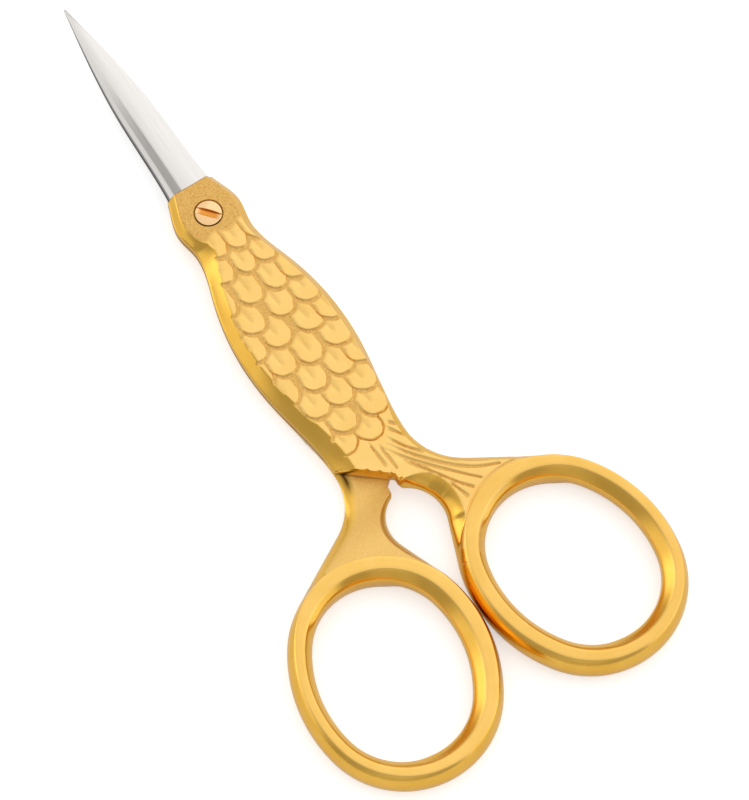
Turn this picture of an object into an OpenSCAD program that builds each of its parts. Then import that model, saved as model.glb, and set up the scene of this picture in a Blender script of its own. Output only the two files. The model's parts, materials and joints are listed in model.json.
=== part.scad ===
// Small embroidery scissors: two forged halves, turned back to back, on one slotted screw.
// Millimetres. The pivot axis is Z, +Y points to the blade tips, and Z = 0 is the underside.
// Each half is drawn once, outer face up, above the plane where the halves meet.
// The back half is the same forging turned over about its length.

/* [Thickness] */
// Thickness of one half, from the meeting plane to its highest surface
half_t = 1.8; // [1.4:0.1:2.6]
// Clearance between the inner faces of the two halves
face_gap = 0.06; // [0.04:0.01:0.2]
// Height of the scales and feathers above the ground between them
relief_h = 0.2; // [0.1:0.05:0.3]

/* [Blades] */
// Distance from the pivot to the blade tips
blade_reach = 27.8; // [22:0.2:40]
// Distance from the pivot to the line where the gilding ends and the blade begins
plating_at = 3.6; // [3:0.1:4.4]
// Half width of a blade at its root
blade_root_hw = 2.45; // [2:0.05:2.6]
// Half width of a blade where its sides begin to run straight to the tip
blade_mid_hw = 1.82; // [1.4:0.02:2]
// Distance from the pivot to that place
blade_mid_at = 16; // [12:0.5:19]
// Half width of a blade at its tip
blade_tip_hw = 0.12; // [0.08:0.02:0.3]
// Height of the ridge above the inner face at the root
ridge_root_t = 1.25; // [0.9:0.05:1.35]
// Height of the ridge above the inner face at the tip
ridge_tip_t = 0.3; // [0.2:0.05:0.6]
// Thickness left at the cutting edge
edge_t = 0.06; // [0.04:0.01:0.15]

/* [Body] */
// Half width of the body where the gilding ends
collar_hw = 2.62; // [2.6:0.02:2.9]
// Half width of the rounded boss at the pivot
boss_hw = 3.62; // [3.3:0.05:4.2]
// Half width of the neck below the pivot
neck_hw = 3.24; // [2.9:0.05:3.6]
// Distance from the pivot to the neck
neck_at = 2.9; // [2.4:0.1:3.6]
// Half width of the body at its widest
belly_hw = 5.7; // [4.8:0.1:7]
// Distance from the pivot to the widest place
belly_at = 16.3; // [14:0.1:20]
// How long the belly stays full before it draws in to the waist; 1 is even
belly_fullness = 1.15; // [1:0.05:1.4]
// Half width of the waist, where the body turns into the shank
waist_hw = 4.15; // [3.8:0.05:4.6]
// Distance from the pivot to the waist
waist_at = 29.8; // [27:0.2:34]
// Height of the upright wall at the rim, under the bevel
rim_t = 0.5; // [0.3:0.1:0.8]
// Width of the polished bevel on the free side of the body
bevel_w = 1.3; // [0.8:0.05:1.6]
// Width of the same bevel at the waist
waist_bevel_w = 1.75; // [0.8:0.05:2]
// Width of the bevel on the side that runs into the shank
shank_bevel_w = 0.8; // [0.4:0.05:1.2]
// Slope of the body's lower end across the other half's shank, in degrees
tail_slope = 39.5; // [34:0.5:44]

/* [Scales] */
// Distance between scales of one row
scale_pitch = 3.05; // [2.6:0.05:3.6]
// Distance between neighbouring rows
row_pitch = 2.77; // [2.5:0.05:3.2]
// Distance from the pivot to the tips of the first row
first_row_at = 5; // [4.8:0.1:6]
// How much closer the scales stand at the neck, as a share of their distance
neck_pitch = 0.76; // [0.7:0.01:1]
// Radius of a scale's round tip
scale_r = 1.3; // [1:0.05:1.45]
// Width of the sunk line between scales
scale_gap = 0.3; // [0.2:0.05:0.5]

/* [Feathers] */
// Width of a feather groove in the shank
groove_w = 0.26; // [0.15:0.01:0.4]

/* [Finger rings] */
// Distance along Y from the pivot to the ring centres
ring_at = 50.16; // [48:0.1:54]
// Clearance between the two rings when the scissors are closed
ring_gap = 0.12; // [0.1:0.02:1]
// Lean of each ring towards the middle, in degrees
ring_lean = 11.5; // [6:0.5:16]
// Half width of a ring's oval, along the middle of its rod
ring_a = 8.7; // [8.6:0.05:9.2]
// Half length of a ring's oval, along the middle of its rod
ring_b = 10.6; // [10.2:0.1:11.4]
// Radius of the oval's two ends, along the middle of its rod
ring_end_r = 8.2; // [7.8:0.05:8.3]
// Width of a ring's rod on average
ring_w = 2.72; // [2.4:0.02:3.2]
// How much narrower the rod is on its thin side, and wider opposite
ring_w_change = 0.28; // [0:0.02:0.4]
// Direction of the thin side from the ring's centre, in degrees from outwards
ring_thin_turn = 45; // [0:5:90]
// Width of the flat band on the ring's two faces
band_w = 1.6; // [1:0.1:1.9]

/* [Shanks] */
// Half of the slit between the two shanks where they leave the body
notch_hw = 0.45; // [0.3:0.05:0.7]
// Radius of the flare from the waist towards the outside of the ring
flare_r = 6.5; // [5.5:0.1:7]
// Radius of the hollow between the shanks
hollow_r = 3.9; // [3.5:0.1:4.1]
// How far the hollow's centre lies above the ring centres
hollow_rise = 11.86; // [11.4:0.02:12.4]
// How far the hollow's centre lies past the middle line, on the other side
hollow_past = 1; // [0.8:0.1:1.2]
// Clearance along Y from the other half's lower end to where the inner face starts to thicken
ramp_clear = 0.25; // [0.2:0.05:1]
// Length over which it reaches the full thickness of the ring
ramp_len = 6; // [4:0.5:8]

/* [Pivot screw] */
// Radius of the screw head
head_r = 1.35; // [1.2:0.05:1.6]
// Depth of the screw head's upright rim
head_rim_t = 0.5; // [0.35:0.05:0.6]
// Radius of the shoulder that the front half turns on
shoulder_r = 0.95; // [0.8:0.05:1.05]
// Radius of the threaded end, without its thread
thread_r = 0.8; // [0.6:0.05:0.85]
// Clearance round the shoulder in the front half
run_gap = 0.04; // [0.02:0.01:0.08]
// Clearance round and under the screw head
head_gap = 0.08; // [0.05:0.01:0.15]
// Clearance round the threaded end
thread_gap = 0.01; // [0.01:0.005:0.03]
// Width of the screwdriver slot
slot_w = 0.5; // [0.3:0.05:0.7]
// Depth of the slot below the top of the head
slot_d = 0.5; // [0.3:0.05:0.6]
// Direction of the slot in degrees from +X
slot_turn = -49; // [-90:1:90]

/* [Hidden] */

gilt = [0.93, 0.72, 0.33];
steel = [0.80, 0.80, 0.82];
screw_gilt = [0.90, 0.70, 0.45];

$fn = 64;
far = 200;                       // longer than anything that it cuts
bite = 0.5;                      // how far a cut runs past the face that it opens
inner_z = face_gap / 2;          // inner face above the meeting plane
ground_z = half_t - relief_h;    // surface between the scales
body_stations = 40;
blade_stations = 12;

function smooth(t) = let (u = min(max(t, 0), 1)) u * u * (3 - 2 * u);
function mix(a, b, t) = a + (b - a) * t;

// Cubic between two stations of an outline, with a slope at each end
function cubic(y, y0, v0, s0, y1, v1, s1) =
    let (d = y1 - y0, t = (y - y0) / d)
    v0 * (1 + 2 * t) * pow(1 - t, 2) + v1 * t * t * (3 - 2 * t)
    + s0 * d * t * pow(1 - t, 2) - s1 * d * t * t * (1 - t);

// Share of the way from the belly to the waist
function waist_share(y) = smooth((-y - belly_at) / (waist_at - belly_at));

// Half width of the body at y: collar, boss, neck, shoulder, belly, waist
shoulder_at = mix(neck_at, belly_at, 0.35);
shoulder_hw = mix(neck_hw, belly_hw, 0.44);
shoulder_slope = -1.75 * (belly_hw - neck_hw) / (belly_at - neck_at);
function body_hw(y) =
    y > 0 ? cubic(y, 0, boss_hw, 0, plating_at, collar_hw, -0.3) :
    y > -neck_at ? cubic(y, -neck_at, neck_hw, 0, 0, boss_hw, 0) :
    y > -shoulder_at ? cubic(y, -shoulder_at, shoulder_hw, shoulder_slope, -neck_at, neck_hw, 0) :
    y > -belly_at ? cubic(y, -belly_at, belly_hw, 0, -shoulder_at, shoulder_hw, shoulder_slope) :
    mix(belly_hw, waist_hw, pow(waist_share(y), belly_fullness));

// The shank's bevel fades out towards the waist, where the shank's wall takes over
function shank_side_bevel(y) = shank_bevel_w * (1 - waist_share(y));
function free_side_bevel(y) = mix(bevel_w, waist_bevel_w, waist_share(y));
function top_left(y) = -(body_hw(y) - free_side_bevel(y));
function top_right(y) = body_hw(y) - shank_side_bevel(y);

// The oval of a ring: two end arcs and two side arcs that meet without a kink
ring_reach = ring_b - ring_end_r;
ring_side_r = (pow(ring_reach, 2) + pow(ring_a, 2) - pow(ring_end_r, 2))
    / (2 * (ring_a - ring_end_r));
ring_side_x = ring_side_r - ring_a;
ring_join = asin(ring_reach / (ring_side_r - ring_end_r));
function rod_w(turn) = ring_w - ring_w_change * cos(turn - ring_thin_turn);
ring_x = ring_gap / 2 + ring_side_r + rod_w(180) / 2 - ring_side_x * cos(ring_lean);
ring_c = [ring_x, -ring_at];
ring_top_c = ring_c + ring_reach * [-sin(ring_lean), cos(ring_lean)];

// Where the line that crosses between two circles touches them
function touch(c, r, d, s, side) =
    let (v = d - c, l = norm(v), a = atan2(v[1], v[0]) + side * acos((r + s) / l))
    c + r * [cos(a), sin(a)];

// The shank runs tangent into the ring about here, in degrees round the ring's upper end
flare_turn = 62;
hollow_turn = 158;
ring_flare_r = ring_end_r + rod_w(flare_turn) / 2;
ring_hollow_r = ring_end_r + rod_w(hollow_turn) / 2;
flare_c = [waist_hw + flare_r, -waist_at];
hollow_c = [-hollow_past, hollow_rise - ring_at];
flare_touch = touch(flare_c, flare_r, ring_top_c, ring_flare_r, -1);
flare_ring_touch = touch(ring_top_c, ring_flare_r, flare_c, flare_r, -1);
hollow_touch = touch(hollow_c, hollow_r, ring_top_c, ring_hollow_r, 1);
hollow_ring_touch = touch(ring_top_c, ring_hollow_r, hollow_c, hollow_r, 1);
notch_hollow_y = hollow_c[1] + sqrt(pow(hollow_r, 2) - pow(notch_hw + hollow_past, 2));
function tail_y(x) = -waist_at - (x + waist_hw) * tan(tail_slope);
loft_end = (tail_y(notch_hw) + notch_hollow_y) / 2;

// A closed shell through a list of rings with the same number of points
module loft(rings) {
    n = len(rings[0]);
    last = len(rings) - 1;
    points = [for (ring = rings) each ring];
    walls = [for (i = [0 : last - 1], j = [0 : n - 1])
        let (k = (j + 1) % n)
        each [[i * n + j, i * n + k, (i + 1) * n + k], [i * n + j, (i + 1) * n + k, (i + 1) * n + j]]];
    first_cap = [for (j = [n - 1 : -1 : 0]) j];
    last_cap = [for (j = [0 : n - 1]) last * n + j];
    polyhedron(points, concat(walls, [first_cap, last_cap]));
}

// Blade: thick spine on the left, ridge, broad face falling to the cutting edge on the right
function blade_hw(y) =
    y < blade_mid_at ? cubic(y, plating_at, blade_root_hw, -0.1, blade_mid_at, blade_mid_hw, -0.09) :
    cubic(y, blade_mid_at, blade_mid_hw, -0.09, blade_reach, blade_tip_hw, -0.17);

function blade_section(y) =
    let (w = blade_hw(y), t = mix(ridge_root_t, ridge_tip_t,
            (y - plating_at) / (blade_reach - plating_at)))
    [[-w, y, inner_z], [w, y, inner_z], [w, y, inner_z + edge_t],
     [-0.64 * w, y, inner_z + t], [-0.9 * w, y, inner_z + 0.62 * t]];

module blade() {
    loft([for (i = [0 : blade_stations]) blade_section(mix(plating_at, blade_reach, i / blade_stations))]);
}

function body_section(y) =
    let (w = body_hw(y))
    [[-w, y, inner_z], [w, y, inner_z], [w, y, rim_t],
     [top_right(y), y, ground_z], [top_left(y), y, ground_z], [-w, y, rim_t]];

// Everything below the body's sloping end, on the free side of the slit
module tail_side() {
    polygon([[notch_hw, tail_y(notch_hw)], [-waist_hw, tail_y(-waist_hw)],
        [-far, tail_y(-far)], [-far, -far], [notch_hw, -far]]);
}

module body_shell() {
    difference() {
        loft([for (i = [0 : body_stations]) body_section(mix(loft_end, plating_at, i / body_stations))]);
        translate([0, 0, -far]) linear_extrude(2 * far) tail_side();
    }
}

// The area inside a ring's oval, grown or shrunk from the middle of its rod
module ring_area(grow) {
    translate(ring_c) rotate(ring_lean) {
        for (s = [-1, 1])
            translate([0, s * ring_reach]) circle(ring_end_r + grow);
        intersection() {
            translate([ring_side_x, 0]) circle(ring_side_r + grow);
            translate([-ring_side_x, 0]) circle(ring_side_r + grow);
            square([far, 2 * (ring_side_r + grow) * sin(ring_join)], center = true);
        }
    }
}

// Cross-section of a ring's rod: flat bands top and bottom, rounded walls
rod_bulge = (ring_w - band_w) / 2;
rod_wall_r = (pow(half_t, 2) + pow(rod_bulge, 2)) / (2 * rod_bulge);
function rod_wall_x(z) = sqrt(pow(rod_wall_r, 2) - z * z) - rod_wall_r + ring_w / 2;
rod_levels = [-1, -0.55, 0, 0.55, 1];
rod_points = concat([for (u = rod_levels) [rod_wall_x(u * half_t), u * half_t]],
    [for (u = rod_levels) [-rod_wall_x(u * half_t), -u * half_t]]);

// A closed band of rings of points, the last joined to the first
module closed_loft(rings) {
    n = len(rings[0]);
    count = len(rings);
    polyhedron([for (ring = rings) each ring], [for (i = [0 : count - 1], j = [0 : n - 1])
        let (k = (j + 1) % n, next = ((i + 1) % count) * n)
        each [[i * n + j, i * n + k, next + k], [i * n + j, next + k, next + j]]]);
}

end_steps = 14;
side_steps = 8;
oval_arcs = [
    [[0, ring_reach], ring_end_r, ring_join, 180 - 2 * ring_join, end_steps],
    [[ring_side_x, 0], ring_side_r, 180 - ring_join, 2 * ring_join, side_steps],
    [[0, -ring_reach], ring_end_r, 180 + ring_join, 180 - 2 * ring_join, end_steps],
    [[-ring_side_x, 0], ring_side_r, -ring_join, 2 * ring_join, side_steps]];
module ring() {
    translate(ring_c) rotate(ring_lean)
        closed_loft([for (arc = oval_arcs, i = [0 : arc[4] - 1])
            let (a = arc[2] + arc[3] * i / arc[4], w = rod_w(a + ring_lean) / ring_w)
            [for (p = rod_points) let (r = arc[1] + p[0] * w)
                [arc[0][0] + r * cos(a), arc[0][1] + r * sin(a), p[1]]]]);
}

// Plan of the shank, from the waist to the middle of the ring's rod
module shank_area() {
    difference() {
        polygon([[notch_hw, -waist_at], [waist_hw, -waist_at], flare_touch, flare_ring_touch,
            ring_top_c, hollow_ring_touch, hollow_touch, [notch_hw, notch_hollow_y]]);
        translate(flare_c) circle(flare_r);
        translate(hollow_c) circle(hollow_r);
        ring_area(0);
    }
}

// The shank is half thick under the other half's body and thickens on its inner side
module shank() {
    ramp_turn = atan(half_t / ramp_len);
    ramp_at = ramp_clear - tail_y(-notch_hw);
    translate([0, 0, inner_z]) linear_extrude(ground_z - inner_z) shank_area();
    difference() {
        translate([0, 0, -half_t]) linear_extrude(half_t + inner_z) shank_area();
        translate([-far / 2, -ramp_at, inner_z]) rotate([ramp_turn, 0, 0])
            translate([0, -far / 2, -far]) cube([far, far, far]);
        translate([-far / 2, -ramp_at, -far / 2]) cube([far, far, far]);
    }
}

// Scales in staggered rows; they stand closer together at the neck
row_count = round((waist_at - first_row_at) / row_pitch) + 1;
function row_y(row) = -first_row_at - row * row_pitch;
function pitch_at(y) =
    scale_pitch * mix(neck_pitch, 1, smooth((-y - first_row_at) / (belly_at - first_row_at)));
function scale_tip(row, column) =
    let (y = row_y(row), stagger = row % 2 == 0 ? 0.3 : -0.2)
    [pitch_at(y) * (column + stagger), y];

// A scale as if nothing lay over it: round tip, straight sides up to the next rows
module scale_outline(tip, r) {
    translate(tip + [0, scale_r]) circle(r);
    translate(tip + [-r, scale_r]) square([2 * r, row_pitch]);
}

// A scale with the tips of the three scales that lie over its root cut away
module scale_area(row, column) {
    difference() {
        scale_outline(scale_tip(row, column), scale_r);
        for (shift = row % 2 == 0 ? [0, 1] : [-1, 0])
            translate(scale_tip(row - 1, column + shift) + [0, scale_r])
                circle(scale_r + scale_gap);
        translate(scale_tip(row - 2, column) + [0, scale_r]) circle(scale_r + scale_gap);
    }
}

// Feather grooves fan out from the body's end, curve through the shank and stop at the ring
groove_count = 8;
groove_steps = 8;
groove_from = [[2 * notch_hw, tail_y(0)], [waist_hw - shank_bevel_w, -waist_at + bevel_w]];
groove_via = [hollow_c + (hollow_r + shank_bevel_w) * [cos(18), sin(18)],
    flare_c + flare_r * [cos(228), sin(228)]];
groove_to = [136, 62];
function groove_point(k, t) =
    let (u = k / (groove_count - 1), a = mix(groove_to[0], groove_to[1], u),
        p = mix(groove_from[0], groove_from[1], u), q = mix(groove_via[0], groove_via[1], u),
        e = ring_top_c + (ring_end_r + rod_w(a) / 2) * [cos(a), sin(a)])
    p * pow(1 - t, 2) + q * 2 * t * (1 - t) + e * t * t;
function groove_side(k, t, s) =
    let (d = groove_point(k, t + 0.01) - groove_point(k, t - 0.01))
    groove_point(k, t) + s * groove_w / 2 * [-d[1], d[0]] / norm(d);

module groove_area(k) {
    polygon(concat([for (i = [0 : groove_steps]) groove_side(k, i / groove_steps, 1)],
        [for (i = [groove_steps : -1 : 0]) groove_side(k, i / groove_steps, -1)]));
}

// Flat top of the body, inside its two bevels
module body_top_area() {
    ys = [for (i = [0 : body_stations]) mix(loft_end, -neck_at, i / body_stations)];
    difference() {
        polygon(concat([for (y = ys) [top_left(y), y]],
            [for (i = [body_stations : -1 : 0]) [top_right(ys[i]), ys[i]]]));
        tail_side();
    }
}

// Feathers: the last part of the body and the whole shank, ribbed by the grooves
module feather_area() {
    fan_left = [-far, -waist_at - 0.2 * (far - waist_hw)];
    fan_right = [far, -waist_at + 0.25 * (far + waist_hw)];
    difference() {
        union() {
            intersection() {
                body_top_area();
                polygon([fan_left, fan_right, [far, -far], [-far, -far]]);
            }
            shank_area();
        }
        for (k = [0 : groove_count - 1]) groove_area(k);
        for (row = [row_count - 2, row_count - 1], column = [-2 : 2])
            scale_outline(scale_tip(row, column), scale_r + scale_gap);
        difference() {
            ring_area(ring_w / 2 + groove_w);
            ring_area(ring_w / 2);
        }
    }
}

// The relief stands on the ground surface and reaches a little into it
relief_root = 0.1;
module relief() {
    translate([0, 0, ground_z - relief_root]) linear_extrude(relief_h + relief_root) {
        intersection() {
            body_top_area();
            for (row = [0 : row_count - 1], column = [-2 : 2]) scale_area(row, column);
        }
        feather_area();
    }
}

// One forging, outer face up, before its pivot hole is made
module forging() {
    body_shell();
    shank();
    ring();
    relief();
}

// Lifts a half from the meeting plane to its place above the underside
module lift() {
    translate([0, 0, half_t]) children();
}

// Turns the same shape over about its length, for the back half
module turned_over() {
    rotate([0, 180, 0]) children();
}

module front_blade() {
    color(steel) lift() blade();
}

module front_handle() {
    head_seat_z = half_t - head_rim_t - relief_h - head_gap;
    color(gilt) lift() difference() {
        forging();
        translate([0, 0, -bite]) cylinder(h = half_t + 2 * bite, r = shoulder_r + run_gap);
        translate([0, 0, head_seat_z]) cylinder(h = half_t, r = head_r + head_gap);
    }
}

module back_blade() {
    color(steel) lift() turned_over() blade();
}

module back_handle() {
    color(gilt) lift() turned_over() difference() {
        forging();
        translate([0, 0, -bite]) cylinder(h = half_t + 2 * bite, r = thread_r + thread_gap);
    }
}

// Screw: threaded end filed flush with the underside, shoulder, domed head with a slot
module pivot_screw() {
    head_z = half_t - head_rim_t - relief_h;
    dome_h = relief_h;
    dome_r = (pow(head_r, 2) + pow(dome_h, 2)) / (2 * dome_h);
    color(screw_gilt) lift() difference() {
        union() {
            translate([0, 0, -half_t]) cylinder(h = half_t, r = thread_r);
            translate([0, 0, -inner_z]) cylinder(h = head_z + inner_z + 0.1, r = shoulder_r);
            intersection() {
                translate([0, 0, head_z]) cylinder(h = half_t - head_z, r = head_r);
                translate([0, 0, half_t - dome_r]) sphere(dome_r);
            }
        }
        rotate(slot_turn) translate([-far / 2, -slot_w / 2, half_t - slot_d])
            cube([far, slot_w, slot_d + bite]);
    }
}

front_blade();
front_handle();
back_blade();
back_handle();
pivot_screw();
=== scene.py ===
"""Looks of the gilt embroidery scissors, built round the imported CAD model.

Lengths are in millimetres here and become metres when a mesh is made. One half is built in
its own frame, outer face up, above the plane where the halves meet; the back half is the
same forging turned over about its length.
"""

import json
from math import acos, asin, atan2, cos, pi, radians, sin, sqrt, tan

import bmesh
import bpy
import numpy as np
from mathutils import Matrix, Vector
from mathutils.geometry import delaunay_2d_cdt


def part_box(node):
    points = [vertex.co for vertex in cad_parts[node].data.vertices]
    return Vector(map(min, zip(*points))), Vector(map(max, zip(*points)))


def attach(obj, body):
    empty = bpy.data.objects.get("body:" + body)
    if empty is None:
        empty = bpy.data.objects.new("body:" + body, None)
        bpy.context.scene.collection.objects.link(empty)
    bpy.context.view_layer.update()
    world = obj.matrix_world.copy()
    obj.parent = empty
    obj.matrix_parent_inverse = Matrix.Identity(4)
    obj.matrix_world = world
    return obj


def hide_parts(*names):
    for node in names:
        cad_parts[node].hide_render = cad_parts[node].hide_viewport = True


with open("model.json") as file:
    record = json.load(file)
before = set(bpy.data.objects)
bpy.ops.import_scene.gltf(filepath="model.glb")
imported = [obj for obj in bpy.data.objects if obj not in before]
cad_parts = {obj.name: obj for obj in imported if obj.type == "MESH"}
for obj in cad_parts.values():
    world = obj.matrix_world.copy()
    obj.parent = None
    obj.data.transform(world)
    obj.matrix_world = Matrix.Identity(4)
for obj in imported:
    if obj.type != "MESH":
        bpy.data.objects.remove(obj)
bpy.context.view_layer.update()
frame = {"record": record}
MM = 0.001


def node_box(node):
    """Lowest and highest corner of a CAD node, in millimetres."""
    return [np.array(corner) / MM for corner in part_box(node)]


def mount_place(name):
    """Where the record puts a mount, in millimetres."""
    mount = next(m for m in frame["record"]["mounts"] if m["name"] == name)
    return np.array(mount["pos_m"]) / MM


# Sizes taken from the CAD model
HALF_T = node_box("front_handle")[1][2] / 2
PLATING_AT = node_box("front_blade")[0][1]
BLADE_REACH = node_box("front_blade")[1][1]
RING_X, RING_Y = mount_place("front_bow")[:2]

# Sizes of the forging, the same as in the CAD source
INNER_Z = 0.03
RIM_T = 0.5
COLLAR_HW, BOSS_HW, NECK_HW, BELLY_HW, WAIST_HW = 2.62, 3.62, 3.24, 5.7, 4.15
NECK_AT, BELLY_AT, WAIST_AT = 2.9, 16.3, 29.8
BELLY_FULLNESS = 1.15
BEVEL_W, WAIST_BEVEL_W, SHANK_BEVEL_W = 1.3, 1.75, 0.8
TAIL_SLOPE = radians(39.5)
NOTCH_HW = 0.45
RING_LEAN = radians(11.5)
RING_A, RING_B, RING_END_R = 8.7, 10.6, 8.2
RING_W, RING_W_CHANGE, RING_THIN_TURN = 2.72, 0.28, radians(45)
BAND_W = 1.6
FLARE_R, HOLLOW_R, HOLLOW_RISE, HOLLOW_PAST = 6.5, 3.9, 11.86, 1.0
RAMP_CLEAR, RAMP_LEN = 0.25, 6.0
HEAD_R, HEAD_RIM_T, HEAD_GAP = 1.35, 0.5, 0.08
SHOULDER_R, RUN_GAP, THREAD_R, THREAD_GAP = 0.95, 0.04, 0.8, 0.01
SLOT_W, SLOT_TURN = 0.5, radians(-49)
DOME_H = 0.2

# Screw and its well as they look: slot, its flared walls and rising foot, and broken edges
WELL_R = HEAD_R + HEAD_GAP
PAD_DROP, WELL_CHAMFER = 0.1, 0.07
SLOT_D, SLOT_RISE, SLOT_FLARE_LOW, SLOT_FLARE_TOP = 0.42, 0.1, 0.42, 0.13
SCREW_TIP_CHAMFER, HEAD_EDGE = 0.08, 0.05

# Relief of the outer face
GROUND_Z = 1.59
SCALE_TOP_Z = 1.77
FEATHER_Z = 1.77
PAD_Z = 1.6
SCALE_W, SCALE_TIP, SCALE_LEN = 1.44, 1.55, 3.6

# Rows of scales from the pivot down: how far the tips lie below it, and each tip's place across
SCALE_ROWS = [
    (4.95, (-1.27, 0.9, 3.1)),
    (7.7, (-2.3, 0.22, 2.55)),
    (10.8, (-4.1, -1.1, 1.86, 4.0)),
    (13.65, (-5.5, -2.6, 0.8, 3.75)),
    (16.4, (-4.2, -1.22, 2.38, 4.85)),
    (19.25, (-5.2, -2.47, 0.5, 3.85)),
    (22.0, (-4.0, -0.75, 2.4, 4.7)),
    (24.7, (-4.9, -2.12, 0.6, 3.4)),
    (27.4, (-3.7, -0.6, 2.95)),
    (29.5, (-1.9, 1.1))]

# Grooves between the feathers, each by the points it passes
GROOVES = [
    ((2.8, -28.5), (3.6, -29.4)),
    ((2.4, -29.0), (3.0, -29.9), (3.6, -30.8)),
    ((1.9, -30.0), (3.0, -31.8), (4.0, -33.0)),
    ((4.5, -33.3), (5.7, -34.8), (7.2, -36.1), (8.9, -37.1)),
    ((1.5, -30.5), (3.0, -32.7), (4.4, -34.4), (5.8, -35.9), (7.5, -37.2), (9.7, -38.1)),
    ((1.0, -30.8), (2.3, -32.8), (4.0, -34.8), (5.3, -36.2), (6.5, -37.5), (7.4, -38.4)),
    ((1.6, -32.2), (2.5, -33.6), (3.5, -35.0), (4.3, -36.2), (5.2, -37.6), (6.2, -38.8)),
    ((4.5, -37.1), (4.9, -38.2), (5.2, -39.3)),
    ((0.05, -29.5), (0.2, -32.3)),
    ((0.8, -30.2), (1.0, -33.1))]
GROOVE_W = 0.19
GROOVE_D = 0.15

# Distances between the points of a mesh
OUTLINE_STEP = 0.12
CAP_STEP = 0.095
INNER_STEP = 0.4

# Angles past which an edge stays sharp, and how dark the painted shade at the plating line and in the
# screw's well is
HANDLE_CREASE, BLADE_CREASE, SCREW_CREASE = 38, 12, 30
SEAM_SHADE = 0.6

# Where the shank meets the ring: directions from the ring's centre, hidden root and its reach
FLARE_TURN, HOLLOW_TURN = radians(62), radians(158)
JOIN_DEPTH, JOIN_TURN = 0.35, radians(12)
ELBOW_R = 0.75
THIN_INSET, FLARE_INSET, FLARE_LOW_INSET = 0.05, 0.8, 1.3


def smooth(t):
    """Soft step from 0 to 1."""
    u = np.clip(t, 0, 1)
    return u * u * (3 - 2 * u)


def mix(a, b, t):
    """Share t of the way from a to b."""
    return a + (b - a) * t


def cubic(y, y0, v0, s0, y1, v1, s1):
    """Cubic between two stations of an outline, with a slope at each end."""
    d = y1 - y0
    t = (y - y0) / d
    return (v0 * (1 + 2 * t) * (1 - t) ** 2 + v1 * t * t * (3 - 2 * t)
            + s0 * d * t * (1 - t) ** 2 - s1 * d * t * t * (1 - t))


def waist_share(y):
    """Share of the way from the belly to the waist."""
    return smooth((-y - BELLY_AT) / (WAIST_AT - BELLY_AT))


SHOULDER_AT = mix(NECK_AT, BELLY_AT, 0.35)
SHOULDER_HW = mix(NECK_HW, BELLY_HW, 0.44)
SHOULDER_SLOPE = -1.75 * (BELLY_HW - NECK_HW) / (BELLY_AT - NECK_AT)


def body_hw(y):
    """Half width of the body: collar, boss, neck, shoulder, belly, waist."""
    y = np.asarray(y, float)
    parts = [
        (y > 0, cubic(y, 0, BOSS_HW, 0, PLATING_AT, COLLAR_HW, -0.3)),
        (y > -NECK_AT, cubic(y, -NECK_AT, NECK_HW, 0, 0, BOSS_HW, 0)),
        (y > -SHOULDER_AT, cubic(y, -SHOULDER_AT, SHOULDER_HW, SHOULDER_SLOPE, -NECK_AT, NECK_HW, 0)),
        (y > -BELLY_AT, cubic(y, -BELLY_AT, BELLY_HW, 0, -SHOULDER_AT, SHOULDER_HW, SHOULDER_SLOPE))]
    rest = mix(BELLY_HW, WAIST_HW, waist_share(y) ** BELLY_FULLNESS)
    return np.select([p[0] for p in parts], [p[1] for p in parts], rest)


def tail_y(x):
    """The sloping end of the body."""
    return -WAIST_AT - (x + WAIST_HW) * tan(TAIL_SLOPE)


def turned(angle, radius=1.0):
    """A point at an angle and a distance from the origin."""
    return radius * np.array([cos(angle), sin(angle)])


# The oval of a ring: two end arcs and two side arcs
RING_REACH = RING_B - RING_END_R
RING_SIDE_R = (RING_REACH ** 2 + RING_A ** 2 - RING_END_R ** 2) / (2 * (RING_A - RING_END_R))
RING_SIDE_X = RING_SIDE_R - RING_A
RING_JOIN = asin(RING_REACH / (RING_SIDE_R - RING_END_R))
RING_C = np.array([RING_X, RING_Y])
RING_AXIS = np.array([-sin(RING_LEAN), cos(RING_LEAN)])
RING_TOP_C = RING_C + RING_REACH * RING_AXIS


def rod_w(turn):
    """Width of the ring's rod by direction from its centre."""
    return RING_W - RING_W_CHANGE * np.cos(turn - RING_THIN_TURN)


def turn_from(turn, degrees):
    """Signed angle from a direction given in degrees."""
    return (turn - radians(degrees) + pi) % (2 * pi) - pi


def inner_inset(turn):
    """How far the ring's flat band lies in from the wall of its hole."""
    return 1.0 - 0.085 * np.cos(turn_from(turn, 57)) + 0.26 * np.cos(turn_from(turn, -33))


def outer_inset(turn):
    """How far the ring's flat band lies in from its outer wall: less where it meets the shank."""
    joined = np.exp(-(turn_from(turn, 100) / radians(30)) ** 2)
    return 0.68 - 0.24 * np.cos(turn_from(turn, 15)) - 0.35 * joined


def oval_side(x, y):
    """Distance outwards from the middle of the ring's rod, and direction from the centre."""
    dx, dy = x - RING_C[0], y - RING_C[1]
    u = dx * cos(RING_LEAN) + dy * sin(RING_LEAN)
    v = -dx * sin(RING_LEAN) + dy * cos(RING_LEAN)
    end = np.hypot(u, np.abs(v) - RING_REACH) - RING_END_R
    side = np.hypot(np.abs(u) + RING_SIDE_X, v) - RING_SIDE_R
    at_side = np.arctan2(np.abs(v), np.abs(u) + RING_SIDE_X) < RING_JOIN
    return np.where(at_side, side, end), np.arctan2(dy, dx)


def touch(centre, radius, other_centre, other_radius, side):
    """Where the line that crosses between two circles touches the first."""
    across = other_centre - centre
    a = atan2(across[1], across[0]) + side * acos((radius + other_radius) / np.hypot(*across))
    return centre + turned(a, radius)


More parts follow.
